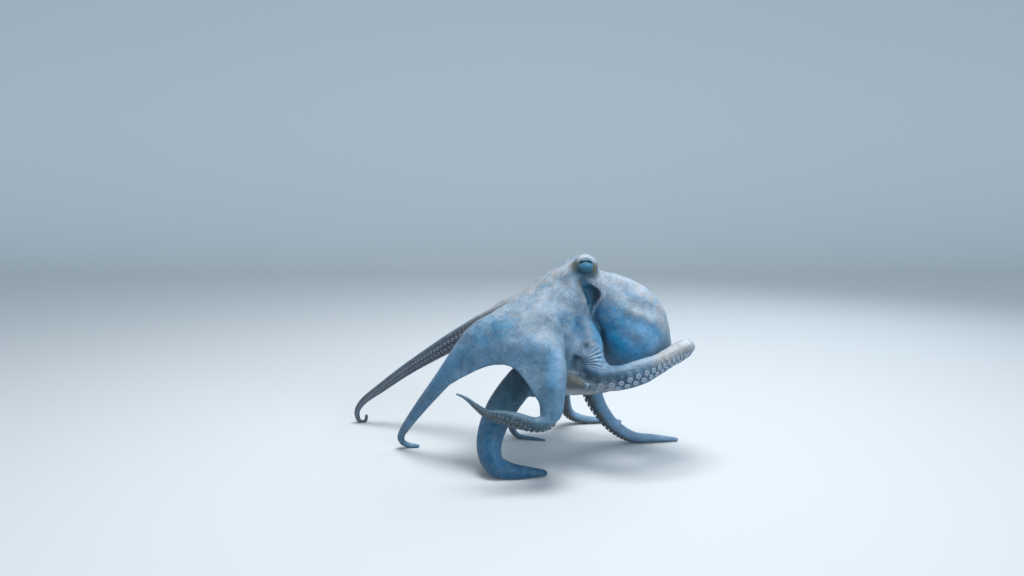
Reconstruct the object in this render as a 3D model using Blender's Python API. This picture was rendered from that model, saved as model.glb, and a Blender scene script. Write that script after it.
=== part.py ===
# A life-size octopus, reared up on its arms. Metres, +Z up, floor at z = 0.
# The head is at the top, the mantle hangs to +X and the near side faces -Y.
# Run with: blender --background --python part.py

from math import cos, pi, sin

import bmesh
import bpy
from mathutils import Vector

# Driving sizes
GAP = 0.0003                 # clear gap between pieces that touch
WEB_GAP = 0.00045            # the same between a web and its arms, which bend
ARM_SIDES = 10               # facets round an arm
ARM_FACET = 1.25             # length of one arm facet, as a share of the arm's radius
BODY_SIDES = 18              # facets round the head and the mantle
WEB_INNER, WEB_OUTER = 0.0026, 0.0018   # web thickness at the crown and at its free edge
WEB_LIFT = 0.28              # height of a web on its arm, as a share of the arm's radius
EYE_RADIUS = 0.0105
EYES = {"left": Vector((0.0945, -0.0285, 0.2590)), "right": Vector((0.0875, 0.0285, 0.2545))}
MOUND = Vector((0.0170, 0.0150, 0.0140))        # half sizes of the mound round an eye
MOUND_INSET = 0.0080                            # from the eye's centre in to the mound's

# Head and crown: places down the middle plane from the neck to the mouth, with the half
# height in that plane and the half width across it at each.
HEAD_LINE = [(0.1180, 0.2320), (0.1080, 0.2345), (0.0970, 0.2320), (0.0835, 0.2240),
             (0.0675, 0.2085), (0.0540, 0.1910), (0.0440, 0.1780)]
HEAD_HALF_HEIGHT = [0.0140, 0.0200, 0.0295, 0.0370, 0.0405, 0.0370, 0.0250]
HEAD_HALF_WIDTH = [0.0190, 0.0245, 0.0305, 0.0360, 0.0390, 0.0370, 0.0260]
HEAD_UNDER = 0.80            # height below the line as a share of that above it

# Mantle: a sac that hangs from the neck, given in the same way.
MANTLE_LINE = [(0.1100, 0.2350), (0.1220, 0.2250), (0.1385, 0.2085), (0.1570, 0.1830),
               (0.1640, 0.1530), (0.1710, 0.1260), (0.1745, 0.1030)]
MANTLE_HALF_HEIGHT = [0.0170, 0.0275, 0.0395, 0.0475, 0.0485, 0.0420, 0.0080]
MANTLE_HALF_WIDTH = [0.0250, 0.0320, 0.0390, 0.0440, 0.0460, 0.0385, 0.0080]

# Arms: the line down the middle of each, which way its sucker side faces at even steps
# along it, its radius at even steps, and where it is parted, as shares of its length.
ARMS = {
    "right_1": dict(
        route=[(0.048, 0.008, 0.207), (0.029, 0.016, 0.213), (-0.003, 0.032, 0.195),
               (-0.045, 0.055, 0.167), (-0.102, 0.085, 0.129), (-0.155, 0.105, 0.093),
               (-0.197, 0.120, 0.061), (-0.227, 0.130, 0.037), (-0.239, 0.136, 0.018),
               (-0.236, 0.139, 0.002), (-0.227, 0.140, 0.003), (-0.225, 0.139, 0.014)],
        oral=[(-0.3, -0.3, -0.9), (-0.2, -0.8, -0.6), (-0.1, -0.9, -0.5), (0.1, -0.9, -0.3)],
        radius=[0.0110, 0.0145, 0.0135, 0.0095, 0.0065, 0.0022],
        parts=(0.32, 0.58, 0.82)),
    "left_1": dict(
        route=[(0.048, -0.008, 0.207), (0.026, -0.016, 0.210), (-0.003, -0.030, 0.193),
               (-0.041, -0.042, 0.174), (-0.062, -0.042, 0.149), (-0.086, -0.034, 0.116),
               (-0.119, -0.013, 0.072), (-0.150, 0.013, 0.026), (-0.153, 0.019, 0.010),
               (-0.142, 0.022, 0.003), (-0.128, 0.022, 0.002)],
        oral=[(-0.3, 0.3, -0.9), (0.1, 0.8, -0.6), (0.5, 0.7, -0.4), (0.0, 0.1, -1.0)],
        radius=[0.0110, 0.0150, 0.0145, 0.0105, 0.0072, 0.0030],
        parts=(0.32, 0.58, 0.82)),
    "left_2": dict(
        route=[(0.052, -0.016, 0.202), (0.045, -0.034, 0.200), (0.047, -0.058, 0.183),
               (0.051, -0.082, 0.160), (0.050, -0.104, 0.130), (0.048, -0.118, 0.107),
               (0.047, -0.125, 0.094), (0.041, -0.130, 0.083), (0.027, -0.132, 0.080),
               (0.007, -0.133, 0.085), (-0.012, -0.134, 0.090), (-0.029, -0.134, 0.094),
               (-0.042, -0.134, 0.103), (-0.054, -0.134, 0.113), (-0.067, -0.134, 0.119)],
        oral=[(-0.3, 0.3, -0.9), (-0.9, 0.4, -0.1), (0.0, -0.6, 0.8), (0.3, -0.7, 0.6)],
        radius=[0.0110, 0.0140, 0.0155, 0.0165, 0.0150, 0.0098, 0.0098, 0.0045, 0.0012],
        parts=(0.30, 0.52, 0.76), fine=0.70),
    "left_3": dict(
        route=[(0.068, -0.016, 0.192), (0.071, -0.034, 0.182), (0.059, -0.045, 0.156),
               (0.032, -0.050, 0.132), (0.006, -0.055, 0.108), (-0.013, -0.061, 0.081),
               (-0.025, -0.070, 0.056), (-0.029, -0.081, 0.034), (-0.022, -0.089, 0.016),
               (-0.002, -0.091, 0.008), (0.022, -0.090, 0.006), (0.045, -0.084, 0.003)],
        oral=[(-0.8, 0.3, -0.5), (0.1, 0.9, -0.3), (-0.5, 0.8, -0.3), (0.0, 0.0, -1.0)],
        radius=[0.0110, 0.0155, 0.0195, 0.0180, 0.0125, 0.0040],
        parts=(0.30, 0.54, 0.78)),
    "left_4": dict(
        route=[(0.083, -0.009, 0.190), (0.097, -0.017, 0.177), (0.101, -0.034, 0.161),
               (0.102, -0.053, 0.141), (0.113, -0.068, 0.1245), (0.132, -0.078, 0.1235),
               (0.159, -0.080, 0.133), (0.188, -0.068, 0.143), (0.212, -0.050, 0.152),
               (0.228, -0.030, 0.153), (0.232, -0.013, 0.144), (0.225, -0.007, 0.133),
               (0.213, -0.014, 0.127)],
        oral=[(-0.9, 0.1, -0.3), (0.1, -0.9, -0.5), (0.3, -0.4, -0.9), (0.2, 0.0, -1.0)],
        radius=[0.0110, 0.0165, 0.0182, 0.0160, 0.0107, 0.0025],
        parts=(0.30, 0.54, 0.78), fine=0.80),
    "right_2": dict(
        route=[(0.054, 0.016, 0.198), (0.048, 0.036, 0.189), (0.041, 0.055, 0.158),
               (0.032, 0.070, 0.114), (0.015, 0.075, 0.071), (0.001, 0.072, 0.039),
               (-0.001, 0.066, 0.017), (0.009, 0.060, 0.004), (0.029, 0.055, 0.002),
               (0.049, 0.050, 0.001)],
        oral=[(-0.3, -0.3, -0.9), (-0.1, -1.0, -0.2), (-0.2, -0.9, -0.3), (0.0, 0.0, -1.0)],
        radius=[0.0110, 0.0145, 0.0120, 0.0085, 0.0050, 0.0020],
        parts=(0.36, 0.66)),
    "right_3": dict(
        route=[(0.068, 0.021, 0.187), (0.074, 0.041, 0.171), (0.075, 0.064, 0.138),
               (0.075, 0.090, 0.091), (0.077, 0.115, 0.049), (0.087, 0.128, 0.018),
               (0.111, 0.134, 0.006), (0.141, 0.136, 0.004), (0.170, 0.138, 0.002)],
        oral=[(-0.3, -0.3, -0.9), (-0.3, -0.9, -0.5), (-0.5, -0.5, -0.7), (0.0, 0.0, -1.0)],
        radius=[0.0104, 0.0145, 0.0140, 0.0105, 0.0070, 0.0030],
        parts=(0.34, 0.66)),
    "right_4": dict(
        route=[(0.083, 0.009, 0.189), (0.098, 0.018, 0.173), (0.102, 0.024, 0.141),
               (0.104, 0.030, 0.102), (0.117, 0.036, 0.062), (0.140, 0.040, 0.028),
               (0.171, 0.043, 0.008), (0.204, 0.046, 0.005), (0.238, 0.050, 0.002)],
        oral=[(-0.8, -0.2, -0.4), (-0.9, -0.3, -0.3), (-0.4, -0.1, -0.9), (0.0, 0.0, -1.0)],
        radius=[0.0104, 0.0145, 0.0140, 0.0115, 0.0080, 0.0030],
        parts=(0.34, 0.66)),
}
ARM_PARTS = {4: ("base", "upper", "lower", "tip"), 3: ("base", "middle", "tip")}

# Webs: the two arms each is stretched between, how far it reaches down each of them, how
# deeply its free edge is arched, and how far it swells outward.
WEBS = {
    "top": dict(arms=("right_1", "left_1"), reach=(0.120, 0.110), arch=0.10, swell=0.008),
    "left_1": dict(arms=("left_1", "left_2"), reach=(0.236, 0.180), arch=0.36, swell=0.016),
    "left_2": dict(arms=("left_2", "left_3"), reach=(0.095, 0.085), arch=0.20, swell=0.004),
    "left_3": dict(arms=("left_3", "left_4"), reach=(0.130, 0.152), arch=-0.31, swell=-0.016),
    "under": dict(arms=("left_4", "right_4"), reach=(0.060, 0.060), arch=0.20, swell=0.002),
    "right_3": dict(arms=("right_4", "right_3"), reach=(0.095, 0.095), arch=0.25, swell=0.006),
    "right_2": dict(arms=("right_3", "right_2"), reach=(0.110, 0.110), arch=0.25, swell=0.008),
    "right_1": dict(arms=("right_2", "right_1"), reach=(0.115, 0.135), arch=0.30, swell=0.010),
}
WEB_ACROSS, WEB_DOWN = 7, 5

APERTURE = dict(centre=(0.1015, 0.2170), half=(0.0095, 0.0200), depth=0.0400, lean=0.20)


def clear_scene():
    for item in list(bpy.data.objects):
        bpy.data.objects.remove(item, do_unlink=True)


def material(name, colour, roughness):
    made = bpy.data.materials.new(name)
    made.use_nodes = True
    shader = made.node_tree.nodes["Principled BSDF"]
    shader.inputs["Base Color"].default_value = (*colour, 1.0)
    shader.inputs["Roughness"].default_value = roughness
    return made


def add_object(name, verts, faces, look=None):
    mesh = bpy.data.meshes.new(name)
    mesh.from_pydata([tuple(v) for v in verts], [], faces)
    made = bpy.data.objects.new(name, mesh)
    bpy.context.collection.objects.link(made)
    work = bmesh.new()
    work.from_mesh(mesh)
    bmesh.ops.recalc_face_normals(work, faces=work.faces)
    bmesh.ops.triangulate(work, faces=[f for f in work.faces if len(f.verts) > 3])
    for face in work.faces:
        face.smooth = True
    work.to_mesh(mesh)
    work.free()
    if look:
        mesh.materials.append(look)
    return made


def curve_through(points, t):
    # the place at share t of a smooth (Catmull-Rom) curve through evenly numbered points
    last = len(points) - 1
    at = min(max(t, 0.0), 1.0) * last
    k = min(int(at), last - 1)
    u = at - k
    b, c = points[k], points[k + 1]
    a = points[k - 1] if k else b * 2 - c
    d = points[k + 2] if k + 2 <= last else c * 2 - b
    return (b * 2 + (c - a) * u + (a * 2 - b * 5 + c * 4 - d) * u ** 2
            + (b * 3 - a - c * 3 + d) * u ** 3) * 0.5


class Line:
    # a smooth line through points, measured along its length

    def __init__(self, points, fine=400):
        points = [Vector(p) for p in points]
        self.places = [curve_through(points, i / fine) for i in range(fine + 1)]
        self.marks = [0.0]
        for a, b in zip(self.places, self.places[1:]):
            self.marks.append(self.marks[-1] + (b - a).length)
        self.length = self.marks[-1]

    def at(self, s):
        if s <= 0.0:
            return self.places[0] + (self.places[0] - self.places[1]).normalized() * -s
        if s >= self.length:
            return self.places[-1] + (self.places[-1] - self.places[-2]).normalized() * (s - self.length)
        low, high = 0, len(self.marks) - 1
        while high - low > 1:
            mid = (low + high) // 2
            low, high = (mid, high) if self.marks[mid] <= s else (low, mid)
        share = (s - self.marks[low]) / (self.marks[high] - self.marks[low])
        return self.places[low].lerp(self.places[high], share)

    def heading(self, s, reach=0.004):
        return (self.at(s + reach) - self.at(s - reach)).normalized()


def arm_frame(arm, s):
    # centre, sucker-side direction, sideways direction and radius at distance s down an arm
    line = arm["line"]
    along = line.heading(s)
    oral = curve_through([Vector(v) for v in arm["oral"]], s / line.length)
    oral = (oral - along * oral.dot(along)).normalized()
    return line.at(s), oral, along.cross(oral), curve_through(arm["radius"], s / line.length)


def loft(rings):
    # a closed tube through rings of equal count, capped at both ends
    count = len(rings[0])
    verts = [v for ring in rings for v in ring]
    faces = [tuple(range(count)), tuple(reversed([len(verts) - count + i for i in range(count)]))]
    for r in range(len(rings) - 1):
        for i in range(count):
            j = (i + 1) % count
            here, there = r * count, (r + 1) * count
            faces += [(here + i, here + j, there + j), (here + i, there + j, there + i)]
    return verts, faces


def arm_spans(arm):
    # name, start and end of each part of an arm, a gap apart
    length = arm["line"].length
    marks = [0.0, *(share * length for share in arm["parts"]), length]
    words = ARM_PARTS[len(marks) - 1]
    return [(word, marks[k] + (GAP / 2 if k else 0.0),
             marks[k + 1] - (GAP / 2 if k < len(words) - 1 else 0.0))
            for k, word in enumerate(words)]


def arm_rings(arm, start, end, grow=0.0):
    # sections of an arm: round on the outside, flatter under the suckers, flat on the floor
    facet = arm_frame(arm, (start + end) / 2)[3] * ARM_FACET * arm.get("fine", 1.0)
    steps = max(3, round((end - start) / facet))
    rings = []
    for k in range(steps + 1):
        centre, oral, side, radius = arm_frame(arm, start + (end - start) * k / steps)
        centre += oral.cross(side) * grow * ((k == steps) - (k == 0))
        ring = []
        for i in range(ARM_SIDES):
            turn = 2 * pi * (i + 0.5) / ARM_SIDES
            across = cos(turn) * (radius + grow)
            up = sin(turn)
            rise = up * (radius * 0.98 + grow) if up > 0 else -(-up) ** 0.75 * (radius * 0.86 + grow)
            place = centre + side * across - oral * rise
            ring.append(Vector((place.x, place.y, max(place.z, -grow))))
        rings.append(ring)
    return rings


def body_rings(line, heights, widths, steps=12, under=1.0):
    # sections across a line in the middle plane, closed to a small cap at each end
    places = [Vector((x, 0.0, z)) for x, z in line]
    rings = []
    for k in range(steps + 1):
        t = k / steps
        centre = curve_through(places, t)
        along = (curve_through(places, t + 0.02) - curve_through(places, t - 0.02)).normalized()
        upward = Vector((0, 1, 0)).cross(along)
        high = curve_through(heights, t)
        wide = curve_through(widths, t)
        ring = []
        for i in range(BODY_SIDES):
            turn = 2 * pi * i / BODY_SIDES
            rise = high * sin(turn) * (1.0 if sin(turn) > 0 else under)
            ring.append(centre + upward * rise + Vector((0, wide * cos(turn), 0)))
        rings.append(ring)
    return rings


def ball(name, centre, half, look=None, turns=14, levels=7):
    # an ellipsoid from rings and two poles
    verts = [centre + Vector((0, 0, half.z))]
    for k in range(1, levels):
        drop = pi * k / levels
        for i in range(turns):
            turn = 2 * pi * i / turns
            verts.append(centre + Vector((half.x * sin(drop) * cos(turn),
                                          half.y * sin(drop) * sin(turn), half.z * cos(drop))))
    verts.append(centre - Vector((0, 0, half.z)))
    last = len(verts) - 1
    faces = []
    for i in range(turns):
        j = (i + 1) % turns
        faces.append((0, 1 + i, 1 + j))
        faces.append((last, last - turns + j, last - turns + i))
        for k in range(levels - 2):
            a = 1 + k * turns
            faces += [(a + i, a + turns + i, a + turns + j), (a + i, a + turns + j, a + j)]
    return add_object(name, verts, faces, look)


def combine(target, other, how):
    # an exact Boolean on the target; the other object is used up
    other.display_type = "WIRE"
    other.hide_render = True
    step = target.modifiers.new("combine", "BOOLEAN")
    step.operation = how
    step.solver = "EXACT"
    step.object = other
    bpy.context.view_layer.objects.active = target
    bpy.ops.object.modifier_apply(modifier=step.name)
    bpy.data.objects.remove(other, do_unlink=True)


def keep_largest(item):
    # drops loose crumbs that a cut leaves beside the main body, and tiny edges
    work = bmesh.new()
    work.from_mesh(item.data)
    bmesh.ops.remove_doubles(work, verts=work.verts, dist=0.00005)
    unseen = set(work.faces)
    groups = []
    while unseen:
        todo = [unseen.pop()]
        group = []
        while todo:
            face = todo.pop()
            group.append(face)
            for edge in face.edges:
                for other in edge.link_faces:
                    if other in unseen:
                        unseen.remove(other)
                        todo.append(other)
        groups.append(group)
    groups.sort(key=lambda g: sum(f.calc_area() for f in g), reverse=True)
    for group in groups[1:]:
        bmesh.ops.delete(work, geom=group, context="FACES")
    bmesh.ops.delete(work, geom=[v for v in work.verts if not v.link_faces], context="VERTS")
    bmesh.ops.triangulate(work, faces=work.faces)
    for face in work.faces:
        face.smooth = True
    work.to_mesh(item.data)
    work.free()


def head_shape(name, look=None):
    rings = body_rings(HEAD_LINE, HEAD_HALF_HEIGHT, HEAD_HALF_WIDTH, under=HEAD_UNDER)
    head = add_object(name, *loft(rings), look)
    for eye in EYES.values():
        inward = Vector((0, -MOUND_INSET if eye.y > 0 else MOUND_INSET, 0))
        combine(head, ball("mound", eye + inward, MOUND), "UNION")
    return head


def head_room():
    # the head's outer shape, a little larger, to cut its neighbours clear of it
    room = head_shape("head_room")
    normals = [Vector(v.normal) for v in room.data.vertices]
    for vert, normal in zip(room.data.vertices, normals):
        vert.co += normal * GAP * 1.3
    return room


def aperture_cutter(side):
    # the slot between the mantle's edge and the head, one on each side
    x, z = APERTURE["centre"]
    half_x, half_z = APERTURE["half"]
    cutter = ball("aperture", Vector((0, 0, 0)), Vector((half_x, 0.014, half_z)))
    for vert in cutter.data.vertices:
        lean = vert.co.z * APERTURE["lean"]
        vert.co += Vector((x - lean, side * APERTURE["depth"], z))
    return cutter


def make_head(look):
    head = head_shape("head", look=look)
    for side in EYES:
        combine(head, ball("socket", EYES[side], Vector((1, 1, 1)) * (EYE_RADIUS + GAP)), "DIFFERENCE")
    for side in (-1, 1):
        combine(head, aperture_cutter(side), "DIFFERENCE")
    keep_largest(head)
    return head


def make_mantle(look):
    mantle = add_object("mantle", *loft(body_rings(MANTLE_LINE, MANTLE_HALF_HEIGHT,
                                                   MANTLE_HALF_WIDTH, steps=14)), look)
    combine(mantle, head_room(), "DIFFERENCE")
    for side in (-1, 1):
        combine(mantle, aperture_cutter(side), "DIFFERENCE")
    keep_largest(mantle)
    return mantle


def make_arm(name, arm, look):
    for word, start, end in arm_spans(arm):
        part = add_object(f"arm_{name}_{word}", *loft(arm_rings(arm, start, end)), look)
        if word == "base":
            combine(part, head_room(), "DIFFERENCE")
            keep_largest(part)


def web_sheet(web, grow=0.0):
    # a sheet between two arms, thinner at its arched free edge
    first, second = (ARMS[name] for name in web["arms"])
    places = []
    for down in range(WEB_DOWN + 1):
        row = []
        for across in range(WEB_ACROSS + 1):
            u = across / WEB_ACROSS
            dome = 4 * u * (1 - u)
            v = down / WEB_DOWN * (1 - web["arch"] * dome)
            ends = []
            for arm, reach in zip((first, second), web["reach"]):
                centre, oral, side, radius = arm_frame(arm, 0.006 + v * (reach - 0.006))
                ends.append((centre - oral * radius * WEB_LIFT, -oral))
            outward = ends[0][1].lerp(ends[1][1], u).normalized()
            row.append(ends[0][0].lerp(ends[1][0], u) + outward * web["swell"] * dome * (0.4 + 0.6 * v))
        places.append(row)
    sides = [[], []]
    for down in range(WEB_DOWN + 1):
        thick = WEB_INNER + (WEB_OUTER - WEB_INNER) * down / WEB_DOWN
        for across in range(WEB_ACROSS + 1):
            along = (places[min(down + 1, WEB_DOWN)][across] - places[max(down - 1, 0)][across])
            over = (places[down][min(across + 1, WEB_ACROSS)] - places[down][max(across - 1, 0)])
            normal = along.cross(over).normalized()
            for sign, side in zip((1, -1), sides):
                side.append(places[down][across] + normal * sign * (thick / 2 + grow))
    count = len(sides[0])
    wide = WEB_ACROSS + 1
    faces = []
    for down in range(WEB_DOWN):
        for across in range(WEB_ACROSS):
            a = down * wide + across
            faces.append((a, a + 1, a + wide + 1, a + wide))
            faces.append((count + a, count + a + wide, count + a + wide + 1, count + a + 1))
    rim = ([i for i in range(wide)] + [(k + 1) * wide - 1 for k in range(1, WEB_DOWN + 1)]
           + [WEB_DOWN * wide + i for i in range(wide - 2, -1, -1)]
           + [k * wide for k in range(WEB_DOWN - 1, 0, -1)])
    for a, b in zip(rim, rim[1:] + rim[:1]):
        faces.append((a, count + a, count + b, b))
    return sides[0] + sides[1], faces


def make_web(name, web, look):
    sheet = add_object(f"web_{name}", *web_sheet(web), look)
    combine(sheet, head_room(), "DIFFERENCE")
    for arm, reach in zip(web["arms"], web["reach"]):
        for word, start, end in arm_spans(ARMS[arm]):
            if start < reach + 0.02:
                rings = arm_rings(ARMS[arm], start, end, WEB_GAP)
                combine(sheet, add_object("arm_room", *loft(rings)), "DIFFERENCE")
    keep_largest(sheet)


def make_eyes(look):
    for side in EYES:
        ball(f"eye_{side}", EYES[side], Vector((1, 1, 1)) * EYE_RADIUS, look)


def main():
    clear_scene()
    skin = material("octopus_skin", (0.36, 0.43, 0.48), 0.45)
    wet = material("eye_cornea", (0.05, 0.16, 0.20), 0.12)
    for arm in ARMS.values():
        arm["line"] = Line(arm["route"])
    make_head(skin)
    make_mantle(skin)
    for name, arm in ARMS.items():
        make_arm(name, arm, skin)
    for name, web in WEBS.items():
        make_web(name, web, skin)
    make_eyes(wet)


main()
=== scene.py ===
# A life-size octopus reared up on its arms: skin, suckers and eyes over the solid frame.
# Metres, +Z up, the floor at z = 0. The head is at the top, the mantle hangs to +X and the
# near side faces -Y.
from math import cos, pi, radians, sin

import bmesh
import bpy
import numpy as np
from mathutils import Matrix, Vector, kdtree
from mathutils.bvhtree import BVHTree


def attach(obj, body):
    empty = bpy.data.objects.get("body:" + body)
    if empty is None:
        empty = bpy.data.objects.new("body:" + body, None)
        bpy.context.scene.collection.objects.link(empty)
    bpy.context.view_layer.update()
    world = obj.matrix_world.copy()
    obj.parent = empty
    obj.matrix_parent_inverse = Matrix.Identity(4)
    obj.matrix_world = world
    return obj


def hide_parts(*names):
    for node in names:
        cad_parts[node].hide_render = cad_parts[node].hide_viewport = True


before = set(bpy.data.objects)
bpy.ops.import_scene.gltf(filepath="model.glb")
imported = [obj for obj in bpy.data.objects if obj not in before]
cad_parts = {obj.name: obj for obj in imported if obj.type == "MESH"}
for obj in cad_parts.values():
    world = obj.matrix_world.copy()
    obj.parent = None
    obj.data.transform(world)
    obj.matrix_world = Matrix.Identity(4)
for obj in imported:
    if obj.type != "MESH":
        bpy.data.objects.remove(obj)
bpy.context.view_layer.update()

print("frame loaded")

# where the arms run: the same routes as the solids
arms = {
    "right_1": dict(
        route=[(.048, .008, .207), (.029, .016, .213), (-.003, .032, .195), (-.045, .055, .167),
               (-.102, .085, .129), (-.155, .105, .093), (-.197, .12, .061), (-.227, .13, .037),
               (-.239, .136, .018), (-.236, .139, .002), (-.227, .14, .003), (-.225, .139, .014)],
        oral=[(-.3, -.3, -.9), (-.2, -.9, -.3), (-.15, -1, -.1), (0, -1, -.1), (.1, -.9, -.3)],
        radius=[.011, .0145, .0135, .0095, .0065, .0022], darkUnder=.85),
    "left_1": dict(
        route=[(.048, -.008, .207), (.026, -.016, .21), (-.003, -.03, .193), (-.041, -.042, .174),
               (-.062, -.042, .149), (-.086, -.034, .116), (-.119, -.013, .072), (-.15, .013, .026),
               (-.153, .019, .01), (-.142, .022, .003), (-.128, .022, .002)],
        oral=[(-.3, .3, -.9), (.1, .8, -.6), (.5, .7, -.4), (0, .1, -1)],
        radius=[.011, .015, .0145, .0105, .0072, .003]),
    "left_2": dict(
        route=[(.052, -.016, .202), (.045, -.034, .2), (.047, -.058, .183), (.051, -.082, .16),
               (.05, -.104, .13), (.048, -.118, .107), (.047, -.125, .094), (.041, -.13, .083),
               (.027, -.132, .08), (.007, -.133, .085), (-.012, -.134, .09), (-.029, -.134, .094),
               (-.042, -.134, .103), (-.054, -.134, .113), (-.067, -.134, .119)],
        oral=[(-.3, .3, -.9), (-.5, .7, -.5), (-.4, .9, -.2), (-.3, .9, .1), (-.1, .6, -.8),
              (0, -.5, -.9), (0, -1, -.2), (.1, -1, 0), (.1, -1, 0)],
        radius=[.011, .014, .0155, .0165, .015, .0098, .0098, .0045, .0012], darkUnder=.4),
    "left_3": dict(
        route=[(.068, -.016, .192), (.071, -.034, .182), (.059, -.045, .156), (.032, -.05, .132),
               (.006, -.055, .108), (-.013, -.061, .081), (-.025, -.07, .056), (-.029, -.081, .034),
               (-.022, -.089, .016), (-.002, -.091, .008), (.022, -.09, .006), (.045, -.084, .003)],
        oral=[(-.8, .3, -.5), (.1, .9, -.3), (-.5, .8, -.3), (0, 0, -1)],
        radius=[.011, .0155, .0195, .018, .0125, .004]),
    "left_4": dict(
        route=[(.083, -.009, .19), (.097, -.017, .177), (.101, -.034, .161), (.102, -.053, .141),
               (.113, -.068, .1245), (.132, -.078, .123), (.159, -.08, .1315), (.188, -.068, .1405),
               (.212, -.05, .1515), (.228, -.03, .153), (.232, -.013, .144), (.225, -.007, .133),
               (.213, -.014, .127)],
        oral=[(-.9, .1, -.3), (-.5, .5, -.6), (-.2, .2, -.95), (0, -.8, -.6), (.1, -.95, -.3),
              (.1, -.93, -.35), (.2, -.75, -.65), (.2, -.5, -.85), (.2, 0, -1)],
        radius=[.011, .0142, .0165, .0178, .0173, .0155, .0135, .0123, .0108, .007, .0025],
        darkUnder=.38),
    "right_2": dict(
        route=[(.054, .016, .198), (.048, .036, .189), (.041, .055, .158), (.032, .07, .114),
               (.015, .075, .071), (.001, .072, .039), (-.001, .066, .017), (.009, .06, .004),
               (.029, .055, .002), (.049, .05, .001)],
        oral=[(-.3, -.3, -.9), (-.1, -1, -.2), (-.2, -.9, -.3), (0, 0, -1)],
        radius=[.011, .0145, .012, .0085, .005, .002]),
    "right_3": dict(
        route=[(.068, .021, .187), (.074, .041, .171), (.075, .064, .138), (.075, .09, .091),
               (.077, .115, .049), (.087, .128, .018), (.111, .134, .006), (.141, .136, .004),
               (.17, .138, .002)],
        oral=[(-.3, -.3, -.9), (-.3, -.9, -.5), (-.5, -.5, -.7), (0, 0, -1)],
        radius=[.0104, .0145, .014, .0105, .007, .003]),
    "right_4": dict(
        route=[(.083, .009, .189), (.098, .018, .173), (.102, .024, .141), (.104, .03, .102),
               (.117, .036, .062), (.14, .04, .028), (.171, .043, .008), (.204, .046, .005),
               (.238, .05, .002)],
        oral=[(-.8, -.2, -.4), (-.9, -.3, -.3), (-.4, -.1, -.9), (0, 0, -1)],
        radius=[.0104, .0145, .014, .0115, .008, .003]),
}

# the arms each web joins, its reach down each, the arch of its edge and its outward swell
webs = {
    "top": dict(arms=("right_1", "left_1"), reach=(.12, .11), arch=.1, swell=.008),
    "left_1": dict(arms=("left_1", "left_2"), reach=(.236, .18), arch=.36, swell=.016),
    "left_2": dict(arms=("left_2", "left_3"), reach=(.095, .085), arch=.2, swell=.004),
    "left_3": dict(arms=("left_3", "left_4"), reach=(.13, .152), arch=-.31, swell=-.016),
    "under": dict(arms=("left_4", "right_4"), reach=(.06, .06), arch=.2, swell=.002),
    "right_3": dict(arms=("right_4", "right_3"), reach=(.095, .095), arch=.25, swell=.006),
    "right_2": dict(arms=("right_3", "right_2"), reach=(.11, .11), arch=.25, swell=.008),
    "right_1": dict(arms=("right_2", "right_1"), reach=(.115, .135), arch=.3, swell=.01),
}

# the head and the mantle: their middle lines in the plane y = 0, half heights and half widths
body = dict(
    head=dict(line=[(.118, .232), (.108, .2345), (.097, .232), (.0835, .224),
                    (.0675, .2085), (.054, .191), (.044, .178)],
              high=[.014, .02, .0295, .0352, .0368, .0355, .025],
              wide=[.019, .0245, .0305, .036, .039, .037, .026], under=.8),
    mantle=dict(line=[(.11, .235), (.122, .225), (.1385, .2085), (.157, .183),
                      (.164, .153), (.171, .126), (.1745, .103)],
                high=[.017, .0275, .0395, .0475, .0485, .042, .008],
                wide=[.025, .032, .039, .044, .046, .0385, .008], under=1.0),
)

skinFit = dict(
    voxel=.0011,              # size of the cells that fuse the parts into one surface
    armStep=.0016,            # between sections of an arm
    armSides=36,
    armTip=1.6,               # length of an arm's rounded end, in radii
    armBack=.98,              # height of an arm's back, in radii
    armUnder=(.86, .75),      # depth of its sucker side, in radii, and how round that is
    suckerRoom=.16,           # share of an arm's radius left on its sucker side for the suckers
    webStart=.006,            # from the mouth end of an arm
    webThick=(.003, .0021),  # at the crown and at the free edge
    webLift=(.8, .34),       # height of a web on its arm at the crown and at the free edge
    webGrid=(36, 40),         # cells across a web and down it
    webSwell=.4,              # share of a web's swell at the crown
    fleshVoxel=.0026,         # cells of the coarse filling under the crown
    fleshRounds=110,
    fleshUnder=.0012,         # how far it stays under the fine surface,
    fleshRise=.9,             # and the share of that it gives up where creases fill freely
    fillRounds=40,
    eyeFine=.017,             # reach of the smaller faces round an eye
    rootFine=((.104, -.063, .147), .022),   # the same at the root of the raised arm
    triangles=188000,
    shortest=.00002,          # edges shorter than this close up
)


def deselectAll():
    if bpy.context.mode != "OBJECT":
        bpy.ops.object.mode_set(mode="OBJECT")
    bpy.ops.object.select_all(action="DESELECT")


def makeActive(item):
    deselectAll()
    item.select_set(True)
    bpy.context.view_layer.objects.active = item


def applyModifier(item, kind, **settings):
    step = item.modifiers.new(kind.lower(), kind)
    for name, value in settings.items():
        setattr(step, name, value)
    makeActive(item)
    bpy.ops.object.modifier_apply(modifier=step.name)


def faceOutwards(item):
    makeActive(item)
    bpy.ops.object.mode_set(mode="EDIT")
    bpy.ops.mesh.select_all(action="SELECT")
    bpy.ops.mesh.normals_make_consistent(inside=False)
    bpy.ops.object.mode_set(mode="OBJECT")


def newMesh(name, verts, faces):
    mesh = bpy.data.meshes.new(name)
    mesh.from_pydata([tuple(v) for v in verts], [], [tuple(f) for f in faces])
    made = bpy.data.objects.new(name, mesh)
    bpy.context.collection.objects.link(made)
    return made


def unit(vectors):
    return vectors / np.maximum(np.linalg.norm(vectors, axis=-1, keepdims=True), 1e-12)


def smoothStep(low, high, value):
    share = np.clip((value - low) / (high - low), 0, 1)
    return share * share * (3 - 2 * share)


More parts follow.
